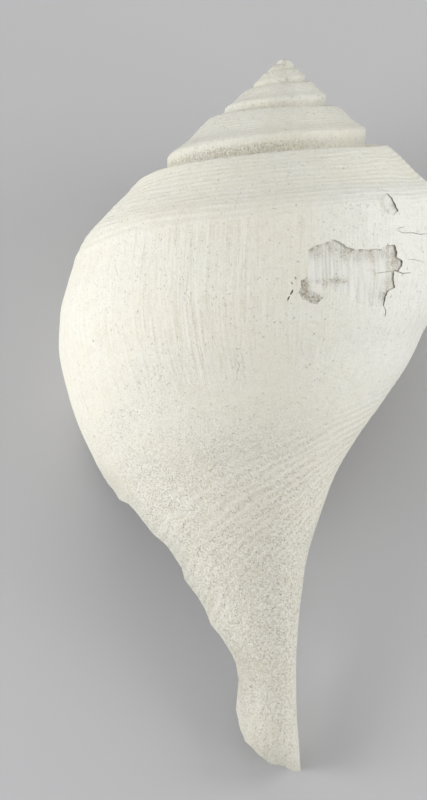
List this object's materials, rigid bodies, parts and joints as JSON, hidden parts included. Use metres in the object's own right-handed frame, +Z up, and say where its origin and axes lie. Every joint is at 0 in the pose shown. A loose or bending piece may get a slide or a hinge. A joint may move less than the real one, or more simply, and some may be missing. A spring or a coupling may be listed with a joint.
{
  "type": "whelk shell",
  "caption": "fossil pear whelk shell with a low stepped spire, a fat body whorl and a long open canal, lying on its opening",
  "frame": {"origin": "centre of the bounding box in X and Y, on the surface that the shell lies on", "axes": "+Y runs along the shell towards its apex, with the canal towards -Y; +Z is up, with the back of the shell up and its opening down; the outer lip is on the -X side"},
  "size_m": [0.0552, 0.0984, 0.0449],
  "materials": {
    "chalky_shell": "matte chalky cream, pitted and sandy towards the canal"
  },
  "bodies": {
    "root": {"shell": "chalky_shell"}
  },
  "joints": []
}
